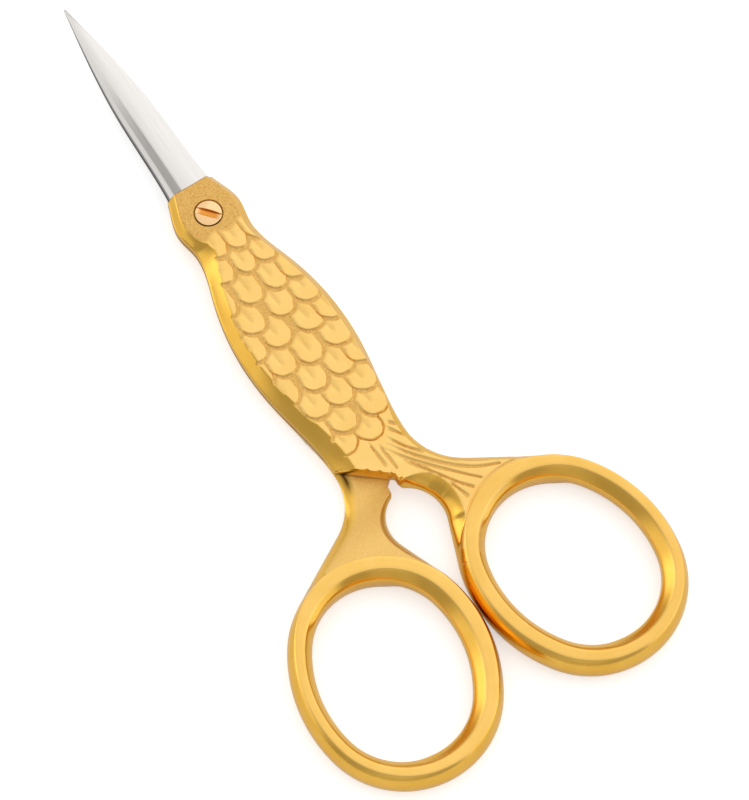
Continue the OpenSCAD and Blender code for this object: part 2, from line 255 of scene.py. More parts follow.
FLARE_C = np.array([WAIST_HW + FLARE_R, -WAIST_AT])
HOLLOW_C = np.array([-HOLLOW_PAST, RING_Y + HOLLOW_RISE])
RING_FLARE_R = RING_END_R + rod_w(FLARE_TURN) / 2
RING_HOLLOW_R = RING_END_R + rod_w(HOLLOW_TURN) / 2
FLARE_TOUCH = touch(FLARE_C, FLARE_R, RING_TOP_C, RING_FLARE_R, -1)
FLARE_RING_TOUCH = touch(RING_TOP_C, RING_FLARE_R, FLARE_C, FLARE_R, -1)
HOLLOW_TOUCH = touch(HOLLOW_C, HOLLOW_R, RING_TOP_C, RING_HOLLOW_R, 1)
HOLLOW_RING_TOUCH = touch(RING_TOP_C, RING_HOLLOW_R, HOLLOW_C, HOLLOW_R, 1)
NOTCH_HOLLOW_Y = HOLLOW_C[1] + sqrt(HOLLOW_R ** 2 - (NOTCH_HW + HOLLOW_PAST) ** 2)
RAMP_AT = RAMP_CLEAR - tail_y(-NOTCH_HW)


def waves(x, y, size, seed):
    """Gentle irregular field between about -1 and 1, with features of the given size."""
    total = 0
    for k in range(4):
        a = seed * 1.7 + k * 2.4
        reach = 2 * pi / (size * (1 + 0.37 * k))
        total = total + np.sin(reach * (x * cos(a) + y * sin(a)) + 3.1 * k + seed)
    return total / 4


def jitter(row, column, seed):
    """Repeatable value between -1 and 1 for one scale."""
    s = np.sin(row * 12.9898 + column * 78.233 + seed * 37.719) * 43758.5453
    return 2 * (s - np.floor(s)) - 1


def scale_relief(x, y):
    """Scales as a share of the relief, and the distance to the nearest scale where there is none."""
    height = np.zeros_like(x)
    above = np.full_like(x, -9.0)
    ragged = 0.05 * waves(x, y, 1.0, 2)
    for row, (below, tips) in enumerate(SCALE_ROWS):
        near = smooth((below - 4) / (BELLY_AT - 4))
        cover = above
        beside = np.full_like(x, -9.0)
        for column in reversed(range(len(tips))):
            w = SCALE_W * mix(0.8, 1, near) * (1 + 0.04 * jitter(row, column, 3))
            lean = 0.06 + 0.05 * jitter(row, column, 4)
            v = y + below + 0.14 * jitter(row, column, 2)
            u = x - tips[column] + lean * v
            edge = w * (1 - np.hypot(u / w, np.minimum(v - SCALE_TIP, 0) / SCALE_TIP))
            edge = np.where(v > SCALE_LEN, -9.0, edge + ragged)
            flank = mix(0.22, 0.42, smooth(0.2 - u / w)) * smooth((v - 0.5) / 1.4)
            rise = smooth(edge / np.maximum(flank, 0.13)) * smooth((0.02 - beside) / 0.12)
            root = smooth((-above - 0.08) / 0.45)
            tilt = 0.86 + 0.14 * smooth(1 - (v - 0.5) / 2.0)
            reach = v - 1.2 - 0.2 * jitter(row, column, 6)
            dimple_w = 0.13 + 0.2 * np.clip(reach, 0, 2)
            dimple = np.exp(-((u + 0.1 - 0.12 * jitter(row, column, 5)) / dimple_w) ** 2)
            dimple = 0.62 * dimple * smooth(reach / 0.5)
            own = (edge > 0) & (cover <= 0)
            height = np.where(own, rise * root * tilt * (1 - dimple), height)
            beside = np.maximum(beside, edge)
            cover = np.maximum(cover, edge)
        above = cover
    return height, -above


def line_distance(x, y, line):
    """Distance to a polyline, and the share of its length where it is nearest."""
    best = np.full_like(x, 99.0)
    share = np.zeros_like(x)
    for i in range(len(line) - 1):
        a, d = line[i], line[i + 1] - line[i]
        t = np.clip(((x - a[0]) * d[0] + (y - a[1]) * d[1]) / (d @ d), 0, 1)
        s = np.hypot(x - a[0] - t * d[0], y - a[1] - t * d[1])
        nearer = s < best
        best = np.where(nearer, s, best)
        share = np.where(nearer, (i + t) / (len(line) - 1), share)
    return best, share


def smooth_line(stops, count=26):
    """Even points along a soft curve through the stops."""
    stops = np.array(stops)
    at = np.linspace(0, len(stops) - 1, count)
    line = np.stack([np.interp(at, np.arange(len(stops)), axis) for axis in stops.T], 1)
    for _ in range(4):
        line[1:-1] = (line[:-2] + 2 * line[1:-1] + line[2:]) / 4
    return line


def feather_relief(x, y):
    """How far the grooves between the feathers lie below their flat level."""
    sunk = np.zeros_like(x)
    for k, stops in enumerate(GROOVES):
        s, share = line_distance(x, y, smooth_line(stops))
        depth = 0.35 + 0.65 * smooth(share / 0.2)
        width = GROOVE_W * (0.9 + 0.3 * np.sin(5 * share + 1.3 * k))
        sunk = np.maximum(sunk, GROOVE_D * depth * (1 - smooth((s - 0.03) / width)))
    return sunk


def bevel_w(y):
    """Width of the polished bevel on the free side."""
    w = mix(BEVEL_W, WAIST_BEVEL_W, waist_share(y))
    neck = np.exp(-((y + 4.2) / 1.7) ** 2)
    boss = smooth((y + 3.0) / 1.2)
    return mix(w, 0.95, boss) + 0.42 * neck


def soft_min(a, b, r):
    """The lower of two heights, with the crease between them rounded."""
    h = np.clip(0.5 + 0.5 * (b - a) / r, 0, 1)
    return mix(b, a, h) - r * h * (1 - h)


def under_ring_wall(x, y):
    """Where shank and ring part, the shank's faces stay inside the ring's rounded wall."""
    off, turn = oval_side(x, y)
    return (y < -WAIST_AT) & (off < rod_w(turn) / 2) & (np.abs(turn - radians(109)) > radians(41))


def outer_z(x, y):
    """Height of the outer face over the meeting plane, how polished it is, which also sets its painted
    shade, and how grainy.
    """
    scales, clear = scale_relief(x, y)
    ground = GROUND_Z + 0.025 * waves(x, y, 0.5, 5)
    body = ground + (SCALE_TOP_Z - ground) * scales
    grain = 0.06 + 0.8 * (1 - smooth((scales - 0.08) / 0.5))
    sunk = feather_relief(x, y)
    feather = smooth((clear - 0.02) / 0.14) * (y < -26.5)
    body = np.where(clear > 0, mix(body, FEATHER_Z - sunk, feather), body)
    grain = np.where(clear > 0, mix(grain, 0.08 + 0.6 * smooth((sunk - 0.05) / 0.1), feather), grain)
    pad = smooth((y + 2.7 + 0.3 * np.sin(2.1 * x)) / 0.7)
    body = mix(body, PAD_Z + 0.03 * waves(x, y, 1.3, 3), pad)
    off, turn = oval_side(x, y)
    arc = off - (rod_w(turn) / 2 - outer_inset(turn))
    low = y < -WAIST_AT
    body = np.where(low, mix(body - 0.17, body, smooth((arc - 0.12) / 0.22)), body)
    body = np.where(low & (arc < 0.0), np.minimum(body, HALF_T - 0.2), body)
    body = np.where(under_ring_wall(x, y), 0.4, body)
    d_left = x + body_hw(y)
    across = d_left / bevel_w(y)
    left = RIM_T + (SCALE_TOP_Z - RIM_T) * across + 0.05 * np.sin(pi * np.clip(across, 0, 1))
    w_right = np.maximum(SHANK_BEVEL_W * (1 - waist_share(y)), 0.05)
    d_right = body_hw(y) - x
    right = RIM_T + (SCALE_TOP_Z - RIM_T) * d_right / w_right
    right = np.where(low, 9.0, right)
    edge = soft_min(left, right, 0.05)
    polish_and_shade = smooth((body - edge) / 0.05 + 0.5)
    z = soft_min(body, edge, mix(0.05, 0.15, smooth((y + 22) / 6)))
    grain = (1 - polish_and_shade) * mix(grain, 0.95, pad)
    return z, polish_and_shade, grain


def inner_z(x, y):
    """Height of the inner face: flat, then a ramp down to the ring's full thickness."""
    share = smooth((-y - RAMP_AT) / RAMP_LEN)
    return np.where(under_ring_wall(x, y), -0.4, mix(INNER_Z, -HALF_T + 0.12, share))


def line_points(a, b):
    """Even points from a to just before b."""
    n = max(2, int(round(np.hypot(*(np.array(b) - a)) / OUTLINE_STEP)))
    t = np.linspace(0, 1, n, endpoint=False)[:, None]
    return np.array(a) * (1 - t) + np.array(b) * t


def arc_points(c, r, a0, a1):
    """Even points of an arc, without its last."""
    n = max(2, int(round(abs(a1 - a0) * r / OUTLINE_STEP)))
    return np.array([c + turned(mix(a0, a1, i / n), r) for i in range(n)])


def dive_points(start, heading, end):
    """A curve from the ring's outer wall that turns inwards to the middle of its rod."""
    t = np.linspace(0, 1, 18, endpoint=False)[:, None]
    via = start + turned(heading, 1.5)
    return start * (1 - t) ** 2 + via * 2 * t * (1 - t) + end * t * t


def angle_of(p, c):
    """Direction of a point seen from a centre."""
    return atan2(p[1] - c[1], p[0] - c[0])


def side_points(sign, y0, y1):
    """Points along one side of the body."""
    n = int(round(abs(y1 - y0) / OUTLINE_STEP))
    y = np.linspace(y0, y1, n, endpoint=False)
    return np.stack([sign * body_hw(y), y], 1)


def elbow_fillet(r):
    """Centre of the small arc that rounds the corner between the slit and the hollow."""
    x = NOTCH_HW + r
    return np.array([x, HOLLOW_C[1] + sqrt((HOLLOW_R + r) ** 2 - (x - HOLLOW_C[0]) ** 2)])


def outline_runs():
    """Body and shank, anticlockwise from the collar's left end: the kind of each run and its points."""
    corner = np.array([NOTCH_HW, tail_y(NOTCH_HW)])
    fillet_c = elbow_fillet(ELBOW_R)
    a_elbow = angle_of(fillet_c, HOLLOW_C)
    a_hollow = angle_of(HOLLOW_TOUCH, HOLLOW_C)
    a_ring0 = angle_of(HOLLOW_RING_TOUCH, RING_TOP_C)
    a_ring1 = angle_of(FLARE_RING_TOUCH, RING_TOP_C)
    a_flare = angle_of(FLARE_TOUCH, FLARE_C) % (2 * pi)
    join_r = RING_END_R - JOIN_DEPTH
    a_join0 = a_ring0 + JOIN_TURN
    a_join1 = a_ring1 - JOIN_TURN
    rise = dive_points(FLARE_RING_TOUCH, a_ring1 - pi / 2, RING_TOP_C + turned(a_join1, join_r))
    return [
        ("free", side_points(-1, PLATING_AT, -WAIST_AT)),
        ("tail", line_points((-WAIST_HW, -WAIST_AT), corner)),
        ("tail", line_points(corner, (NOTCH_HW, fillet_c[1]))),
        ("hollow", arc_points(fillet_c, ELBOW_R, pi, a_elbow + pi)),
        ("hollow", arc_points(HOLLOW_C, HOLLOW_R, a_elbow, a_hollow)),
        ("hollow", line_points(HOLLOW_TOUCH, HOLLOW_RING_TOUCH)),
        ("dive", dive_points(HOLLOW_RING_TOUCH, a_ring0 + pi / 2, RING_TOP_C + turned(a_join0, join_r))),
        ("join", arc_points(RING_TOP_C, join_r, a_join0, a_join1)),
        ("rise", rise[::-1]),
        ("flare", line_points(FLARE_RING_TOUCH, FLARE_TOUCH)),
        ("flare", arc_points(FLARE_C, FLARE_R, a_flare, pi)),
        ("right", side_points(1, -WAIST_AT, PLATING_AT)),
        ("collar", line_points((COLLAR_HW, PLATING_AT), (-COLLAR_HW, PLATING_AT)))]


def far_from(points, place, reach):
    """Soft step from 0 at a place to 1 at a distance from it."""
    return smooth(np.hypot(*(points - place).T) / reach)


def outline():
    """Points of the outline with, for each, the inset of its upper and lower wall and its mid height."""
    runs = outline_runs()
    points = np.concatenate([run[1] for run in runs])
    kinds = np.concatenate([[run[0]] * len(run[1]) for run in runs])
    x, y = points.T
    flare_top, flare_low = outer_inset(FLARE_TURN), outer_inset(pi - FLARE_TURN)
    hollow_top, hollow_low = outer_inset(HOLLOW_TURN), outer_inset(pi - HOLLOW_TURN)
    ramp = smooth((-y - RAMP_AT) / RAMP_LEN)
    nicks = 0.5 + 0.5 * np.sin(2 * pi * x / 0.95)
    nicks = nicks * smooth((x + 3) / 0.8) * smooth((NOTCH_HW - x) / 0.3)
    wide = 0.45 + 1.2 * far_from(points, (NOTCH_HW, NOTCH_HOLLOW_Y), 2.8)
    to_hollow_ring = far_from(points, HOLLOW_RING_TOUCH, 4.5)
    to_flare_ring = far_from(points, FLARE_RING_TOUCH, 4)
    upper = np.full(len(points), 0.12)
    upper = np.where(kinds == "tail", 0.12 + 0.16 * nicks ** 3, upper)
    upper = np.where(kinds == "hollow", mix(hollow_top, wide, to_hollow_ring), upper)
    upper = np.where(kinds == "flare", mix(flare_top, FLARE_INSET, to_flare_ring), upper)
    upper = np.where(kinds == "right", mix(0.12, FLARE_INSET, smooth((-y - 24) / 5.8)), upper)
    upper = np.where(kinds == "join", THIN_INSET, upper)
    upper = np.where(kinds == "collar", 0.04, upper)
    lower = np.full(len(points), 0.04)
    for kind, touch_at, above, below in (("dive", HOLLOW_RING_TOUCH, hollow_top, hollow_low),
                                         ("rise", FLARE_RING_TOUCH, flare_top, flare_low)):
        gone = far_from(points, touch_at, 1.2)
        upper = np.where(kinds == kind, mix(above, THIN_INSET, gone), upper)
        lower = np.where(kinds == kind, mix(below, THIN_INSET, gone), lower)
    strip = smooth((-y - 27) / 4) * (1 - smooth((-y - 35.5) / 4))
    hollow_foot = mix(THIN_INSET, mix(hollow_low, 0.9, to_hollow_ring), ramp)
    flare_foot = mix(0.12 + 1.2 * strip, mix(flare_low, FLARE_LOW_INSET, to_flare_ring), ramp)
    lower = np.where(kinds == "hollow", hollow_foot, lower)
    lower = np.where(kinds == "flare", flare_foot, lower)
    lower = np.where(kinds == "right", 0.04 + 0.78 * strip, lower)
    shank = np.isin(kinds, ("hollow", "flare", "dive", "rise", "join"))
    middle = np.where(shank, mix(RIM_T, 0.0, ramp), RIM_T)
    return points, kinds, upper, lower, middle


def outward_normals(points):
    """Unit normals of a closed anticlockwise outline."""
    d = np.roll(points, -1, 0) - np.roll(points, 1, 0)
    n = np.stack([d[:, 1], -d[:, 0]], 1)
    return n / np.linalg.norm(n, axis=1)[:, None]


# Radius of the rounded walls, for a wall as high and an inset as wide as the ring's
WALL_R = ((HALF_T ** 2 + ((RING_W - BAND_W) / 2) ** 2) / (RING_W - BAND_W)) / HALF_T


def wall_curve(s):
    """Share of the inset at a share of the wall's height, for a wall that bulges."""
    return (WALL_R - np.sqrt(WALL_R ** 2 - s * s)) / (WALL_R - sqrt(WALL_R ** 2 - 1))


def cap_triangles(loop, holes, step):
    """Triangles over the inside of a loop: its points, the holes' points and a fine lattice."""
    low, high = loop.min(0), loop.max(0)
    rows = np.arange(low[1], high[1], step * sqrt(3) / 2)
    columns = np.arange(low[0], high[0], step)
    lattice = np.concatenate([np.stack([columns + (i % 2) * step / 2, np.full(len(columns), y)], 1)
                              for i, y in enumerate(rows)])
    lattice = lattice[inside_loop(lattice, loop, step * 0.55)]
    for hole in holes:
        radius = np.hypot(*hole[0])
        lattice = lattice[np.hypot(*lattice.T) > radius + step * 0.5]
    rim = np.concatenate([loop] + holes)
    n = len(loop)
    edges = [(i, (i + 1) % n) for i in range(n)]
    start = n
    for hole in holes:
        edges += [(start + i, start + (i + 1) % len(hole)) for i in range(len(hole))]
        start += len(hole)
    points = np.concatenate([rim, lattice])
    result = delaunay_2d_cdt([Vector(p) for p in points.tolist()], edges, [list(range(n))], 1, 1e-6)
    verts = np.array([v[:] for v in result[0]])
    tris = np.array(result[2])
    for hole in holes:
        outside = np.hypot(*verts.T) > np.hypot(*hole[0]) + 0.001
        tris = tris[outside[tris].any(1)]
    index = np.full(len(rim), -1)
    for new, olds in enumerate(result[3]):
        for old in olds:
            if old < len(rim):
                index[old] = new
    return verts, tris, index


def inside_loop(points, loop, margin):
    """Which points lie inside the loop and further than the margin from it."""
    x, y = points.T
    inside = np.zeros(len(points), bool)
    near = np.zeros(len(points), bool)
    for (x0, y0), (x1, y1) in zip(loop, np.roll(loop, -1, 0)):
        crosses = (y0 > y) != (y1 > y)
        if y1 != y0:
            inside ^= crosses & (x < (x1 - x0) * (y - y0) / (y1 - y0) + x0)
        near |= (np.abs(y - y0) < margin) & (np.abs(x - x0) < margin)
    return inside & ~near


def store(mesh, key, values):
    """Keeps a value for each vertex, for a material to read."""
    layer = mesh.attributes.new(key, "FLOAT", "POINT")
    layer.data.foreach_set("value", np.asarray(values, np.float32))


def mesh_object(name, verts, faces, values=None):
    """An object from vertices in millimetres, with named values for each vertex."""
    mesh = bpy.data.meshes.new(name)
    mesh.from_pydata((np.asarray(verts) * MM).tolist(), [], [list(map(int, f)) for f in faces])
    for key, each in (values or {}).items():
        store(mesh, key, each)
    mesh.validate()
    mesh.update()
    obj = bpy.data.objects.new(name, mesh)
    bpy.context.scene.collection.objects.link(obj)
    return obj


def vertex_places(obj):
    """Places of an object's vertices in metres, one row each."""
    co = np.zeros(len(obj.data.vertices) * 3)
    obj.data.vertices.foreach_get("co", co)
    return co.reshape(-1, 3)


def outward(obj):
    """Turns the faces of a closed mesh outwards."""
    bm = bmesh.new()
    bm.from_mesh(obj.data)
    bmesh.ops.recalc_face_normals(bm, faces=bm.faces)
    bm.to_mesh(obj.data)
    bm.free()


def combine(base, other, operation):
    """Joins another closed mesh to the base or cuts it out, and deletes it."""
    modifier = base.modifiers.new("combine", "BOOLEAN")
    modifier.operation = operation
    modifier.solver = "MANIFOLD"
    modifier.object = other
    graph = bpy.context.evaluated_depsgraph_get()
    mesh = bpy.data.meshes.new_from_object(base.evaluated_get(graph))
    base.modifiers.clear()
    base.data = mesh
    bpy.data.objects.remove(other)


def shade(obj, angle):
    """Smooth shading, with edges steeper than the angle left sharp."""
    obj.data.polygons.foreach_set("use_smooth", [True] * len(obj.data.polygons))
    obj.data.set_sharp_from_angle(angle=radians(angle))


def circle(radius, count=72):
    """Even points of a circle round the pivot's axis."""
    a = np.linspace(0, 2 * pi, count, endpoint=False)
    return np.stack([radius * np.cos(a), radius * np.sin(a)], 1)


class Shell:
    """Vertices and faces gathered patch by patch."""

    def __init__(self):
        self.verts, self.faces, self.count = [], [], 0

    def add(self, points):
        """Adds points and gives their numbers."""
        points = np.asarray(points, float)
        self.verts.append(points)
        start = self.count
        self.count += len(points)
        return np.arange(start, start + len(points))

    def band(self, low, high):
        """Quads between two closed loops of the same length, outside on the right-hand side."""
        n = len(low)
        for i in range(n):
            j = (i + 1) % n
            self.faces.append((low[i], low[j], high[j], high[i]))

    def tube(self, loops):
        """Bands through a list of loops, closed by a flat face at both ends."""
        for here, there in zip(loops, loops[1:]):
            self.band(here, there)
        self.faces.append(tuple(loops[0][::-1]))
        self.faces.append(tuple(loops[-1]))

    def cap(self, verts, tris, z, rim_index, rims, flip):
        """A triangulated cap whose rim vertices are already in the shell."""
        ids = np.full(len(verts), -1)
        ids[rim_index] = np.concatenate(rims)
        fresh = np.nonzero(ids < 0)[0]
        ids[fresh] = self.add(np.column_stack([verts[fresh], z[fresh]]))
        order = tris[:, ::-1] if flip else tris
        self.faces.extend(ids[order].tolist())

    def build(self, name, values=None):
        """The object made of all patches."""
        return mesh_object(name, np.concatenate(self.verts), self.faces, values)


# Heights of the loops of points on a wall, as shares of it
LOWER_LEVELS = (1, 0.75, 0.4, 0.12)
UPPER_LEVELS = (0.1, 0.3, 0.5, 0.7, 0.85, 0.95, 1)


def build_plate(name, head_hole):
    """Body and shank of one half. head_hole lists the radii and heights of the pivot hole."""
    points, kinds, upper, lower, middle = outline()
    normals = outward_normals(points)
    shell = Shell()
    loops = []
    inner_loop = points - normals * lower[:, None]
    bottom = inner_z(*inner_loop.T)
    for s in LOWER_LEVELS:
        at = points - normals * (lower * wall_curve(s))[:, None]
        loops.append(shell.add(np.column_stack([at, mix(middle, bottom, s)])))
    top_loop = points - normals * upper[:, None]
    top = outer_z(*top_loop.T)[0]
    for s in UPPER_LEVELS:
        bend = np.where(kinds == "tail", max(0.0, (s - 0.5) / 0.5), wall_curve(s))
        at = points - normals * (upper * bend)[:, None]
        loops.append(shell.add(np.column_stack([at, mix(middle, top, s)])))
    for low, high in zip(loops, loops[1:]):
        shell.band(low, high)
    hole_top = circle(head_hole[0][0])
    hole_low = circle(head_hole[-1][0])
    hole_z = outer_z(*hole_top.T)[0]
    hole_loops = [shell.add(np.column_stack([hole_top, hole_z]))]
    for radius, z in head_hole:
        hole_loops.append(shell.add(np.column_stack([circle(radius), np.full(len(hole_top), z)])))
    for high, low in zip(hole_loops, hole_loops[1:]):
        shell.band(high, low)
    verts, tris, index = cap_triangles(top_loop, [hole_top], CAP_STEP)
    shell.cap(verts, tris, outer_z(*verts.T)[0], index, [loops[-1], hole_loops[0]], False)
    verts, tris, index = cap_triangles(inner_loop, [hole_low], INNER_STEP)
    shell.cap(verts, tris, inner_z(*verts.T), index, [loops[0], hole_loops[-1]], True)
    return shell.build(name)


# The ring's walls: share of their height that the flat bands leave, and play to the solid's wall
WALL_SHARE, WALL_PLAY = 0.985, 0.01
# Share of the cut face's inset that lies below it, and the soft part of its lower edge
CUT_FOOT, CUT_SOFT = 0.12, 0.02
BAND_ROUND = 0.06


def ring_side(turn):
    """Heights on one side of the ring's rod as shares, and the insets of both walls there."""
    cut_at = 0.45 + 0.22 * np.exp(-(turn_from(turn, 125) / radians(32)) ** 2)
    on_cut = [mix(cut_at, 1, share) for share in (0.4, 0.75)]
    s = np.array([0.06, 0.2, 0.36, cut_at - CUT_SOFT, cut_at + CUT_SOFT, *on_cut, 1])
    round_wall = wall_curve(s)
    below_cut = CUT_FOOT * np.minimum(s / cut_at, 1) ** 2
    cut_wall = below_cut + (1 - CUT_FOOT) * np.clip((s - cut_at) / (1 - cut_at), 0, 1)
    faceted = smooth((cos(turn_from(turn, 12)) + 0.6) / 0.25)
    return s, outer_inset(turn) * round_wall, inner_inset(turn) * mix(round_wall, cut_wall, faceted)


def ring_section(turn):
    """Points round the ring's rod, from the outer wall's foot upwards."""
    half = rod_w(turn) / 2
    top_s, top_outer, top_inner = ring_side(turn)
    foot_s, foot_outer, foot_inner = ring_side(pi - turn)
    levels = WALL_SHARE * HALF_T * np.concatenate([-foot_s[::-1], top_s])
    outer = half - WALL_PLAY - np.concatenate([foot_outer[::-1], top_outer])
    inner = np.concatenate([foot_inner[::-1], top_inner]) - half
    side = list(zip(outer, levels))
    back = list(zip(inner[::-1], levels[::-1]))
    top = [(x, HALF_T) for x in np.linspace(outer[-1] - BAND_ROUND, inner[-1] + BAND_ROUND, 5)]
    foot = [(x, -HALF_T) for x in np.linspace(inner[0] + BAND_ROUND, outer[0] - BAND_ROUND, 5)]
    return side + top + back + foot


def ring_stations():
    """Centre, radius and angle of each station round the oval, in the ring's own frame."""
    arcs = [
        ((0, RING_REACH), RING_END_R, RING_JOIN, pi - 2 * RING_JOIN, 90),
        ((RING_SIDE_X, 0), RING_SIDE_R, pi - RING_JOIN, 2 * RING_JOIN, 44),
        ((0, -RING_REACH), RING_END_R, pi + RING_JOIN, pi - 2 * RING_JOIN, 90),
        ((-RING_SIDE_X, 0), RING_SIDE_R, -RING_JOIN, 2 * RING_JOIN, 44)]
    for centre, radius, start, sweep, count in arcs:
        for i in range(count):
            yield np.array(centre), radius, start + sweep * i / count


def build_ring(name):
    """The finger ring of one half, a closed band of sections."""
    shell = Shell()
    loops = []
    for centre, radius, a in ring_stations():
        section = ring_section((a + RING_LEAN) % (2 * pi))
        flat = np.array([centre + turned(a, radius + x) for x, _ in section])
        leaned = flat @ np.array([turned(RING_LEAN), RING_AXIS]) + RING_C
        loops.append(shell.add(np.column_stack([leaned, [z for _, z in section]])))
    for here, there in zip(loops, loops[1:] + loops[:1]):
        shell.band(here, there)
    return shell.build(name)


def mark_surface(obj):
    """Stores how polished (which also sets the painted shade of the walls), how grainy and how darkly
    shaded each point is, by where it lies on the forging: shade is painted in the gap between the halves,
    at the plating line and down the screw's well.
    """
    x, y, z = (vertex_places(obj) / MM).T
    top, polish_and_shade, grain = outer_z(x, y)
    off, turn = oval_side(x, y)
    half = rod_w(turn) / 2
    side = np.where(z < 0, pi - turn, turn)
    band = (off < half - outer_inset(side) + 0.02) & (off > inner_inset(side) - half - 0.02)
    on_ring = (np.abs(off) < half + 0.01) & (y < -36)
    flat_top = z > HALF_T - 0.01
    outer = (np.abs(z - top) < 0.03) & (z < HALF_T - 0.02)
    inner = np.abs(z - inner_z(x, y)) < 0.03
    polish_and_shade = np.where(outer, polish_and_shade, 1.0)
    polish_and_shade = np.where(inner, 0.0, polish_and_shade)
    polish_and_shade = np.where(on_ring & band & (np.abs(z) > HALF_T - 0.06), 0.5, polish_and_shade)
    grain = np.where(outer, grain, 0.0)
    grain = np.where(inner, 0.4, grain)
    grain = np.where(on_ring & flat_top, 0.22, grain)
    # Painted shade: walls darkened near the plane where the halves meet, at the plating line and down the
    # screw's well
    painted_shade = (1 - smooth((np.abs(z - INNER_Z) - 0.14) / 0.1)) * np.where(inner | on_ring, 0.0, 1.0)
    painted_shade = painted_shade * smooth((y + 33) / 2)
    painted_shade = np.maximum(painted_shade, SEAM_SHADE * smooth((y - PLATING_AT + 0.14) / 0.08))
    in_well = np.hypot(x, y) < WELL_R + WELL_CHAMFER + 0.01
    painted_shade = np.maximum(painted_shade, SEAM_SHADE * (in_well & (z < top - 0.04) & (z > INNER_Z + 0.1)))
    for key, values in (("polish_and_shade", polish_and_shade), ("grain", grain), ("painted_shade", painted_shade)):
        store(obj.data, key, values)


def place(obj, back):
    """Lifts a half from the meeting plane to its place; the back half is turned over first."""
    co = vertex_places(obj)
    if back:
        co = co * np.array([-1, 1, -1])
    co[:, 2] += HALF_T * MM
    obj.data.vertices.foreach_set("co", co.ravel())
    obj.data.update()


def build_handle(name, back, hole):
    """Body, shank and ring of one half as one closed mesh."""
    obj = build_plate(name, hole)
    ring = build_ring(name + "_ring")
    outward(obj)
    outward(ring)
    combine(obj, ring, "UNION")
    mark_surface(obj)
    shade(obj, HANDLE_CREASE)
    place(obj, back)
    return obj


# Blade
BLADE_ROOT_HW, BLADE_MID_HW, BLADE_MID_AT, BLADE_TIP_HW = 2.45, 1.82, 16.0, 0.12
RIDGE_ROOT_T, RIDGE_TIP_T, EDGE_T = 1.25, 0.3, 0.06


def blade_hw(y):
    """Half width of the blade."""
    return np.where(y < BLADE_MID_AT,
                    cubic(y, PLATING_AT, BLADE_ROOT_HW, -0.1, BLADE_MID_AT, BLADE_MID_HW, -0.09),
                    cubic(y, BLADE_MID_AT, BLADE_MID_HW, -0.09, BLADE_REACH, BLADE_TIP_HW, -0.17))


def falling(width, root_angle, tip_angle, share):
    """Step to the left and down across a facet whose slope changes along the blade."""
    return width * np.array([1, tan(mix(radians(root_angle), radians(tip_angle), share))])


def build_blade(name, back):
    """Flat inner face, spine wall, narrow facets, ridge, and the broad face down to the edge."""
    shell = Shell()
    loops, shadows = [], []
    for y in np.linspace(PLATING_AT, BLADE_REACH, 90):
        w = float(blade_hw(y))
        share = (y - PLATING_AT) / (BLADE_REACH - PLATING_AT)
        t = mix(RIDGE_ROOT_T, RIDGE_TIP_T, share)
        ridge = np.array([-0.36 * w, t])
        crease = ridge - falling(0.34 * w, 31, 11, share)
        facet = crease - falling(0.2 * w, 18, 33, share)
        edge = np.array([w, EDGE_T])
        foot = np.array([-w, 0.1 * t])
        to_face = (edge - ridge) / np.linalg.norm(edge - ridge)
        to_crease = (crease - ridge) / np.linalg.norm(crease - ridge)
        middle = ridge + (edge - ridge) * 0.5 + np.array([0, 0.035 * t])
        soft = 0.03 * w
        section = [(-w + 0.02, 0), (-0.4 * w, 0), (0.3 * w, 0), (w - 0.02, 0), edge, middle,
                   ridge + to_face * soft, ridge + to_crease * soft,
                   crease + (ridge - crease) * 0.04, crease + (facet - crease) * 0.06,
                   facet + (crease - facet) * 0.05, facet + (foot - facet) * 0.06, foot]
        # Painted shadow: grey along the ridge and the facet below it, fading towards the tip, and a touch
        # on the face
        grey = 0.5 * float(smooth((0.72 - share) / 0.5))
        shadows += [0, 0, 0, 0, 0, 0.05, 0.24, grey, grey, 0, 0, 0, 0]
        loops.append(shell.add([(x, y, INNER_Z + z) for x, z in section]))
    shell.tube(loops)
    # Painted shade: the spine's foot black, for the shadow in the gap between the blades
    foot_shade = np.tile([1.0, 0, 0, 0, 0, 0, 0, 0, 0, 0, 0, 0.45, 1.0], len(loops))
    obj = shell.build(name, {"foot": foot_shade, "shadow": shadows})
    outward(obj)
    shade(obj, BLADE_CREASE)
    place(obj, back)
    return obj


def dome_z(r):
    """Height of the screw's domed head."""
    return HALF_T - DOME_H * (r / HEAD_R) ** 2


def build_screw(name):
    """Threaded end, shoulder and a low domed head with a slot across it."""
    head_z = HALF_T - HEAD_RIM_T - DOME_H
    rim_z = HALF_T - DOME_H
    profile = [(THREAD_R - SCREW_TIP_CHAMFER, -HALF_T), (THREAD_R, -HALF_T + SCREW_TIP_CHAMFER),
               (THREAD_R, -INNER_Z), (SHOULDER_R, -INNER_Z), (SHOULDER_R, head_z),
               (HEAD_R - HEAD_EDGE, head_z), (HEAD_R, head_z + HEAD_EDGE),
               (HEAD_R, rim_z - 0.04), (HEAD_R - 0.02, rim_z)]
    for k in range(1, 12):
        r = HEAD_R * (1 - k / 12) - 0.02
        profile.append((r, dome_z(r)))
    shell = Shell()
    shell.tube([shell.add(np.column_stack([circle(r, 96), np.full(96, z)])) for r, z in profile])
    obj = shell.build(name)
    outward(obj)
    combine(obj, build_slot_cutter(), "DIFFERENCE")
    x, y, z = (vertex_places(obj) / MM).T
    r = np.hypot(x, y)
    # Painted shade: the slot's walls and floor darken the deeper they lie below the dome
    painted_slot_shade = smooth((dome_z(r) - z - 0.14) / 0.2) * (z > head_z + 0.1) * (r < HEAD_R - 0.03)
    store(obj.data, "painted_slot_shade", painted_slot_shade)
    shade(obj, SCREW_CREASE)
    place(obj, False)
    return obj


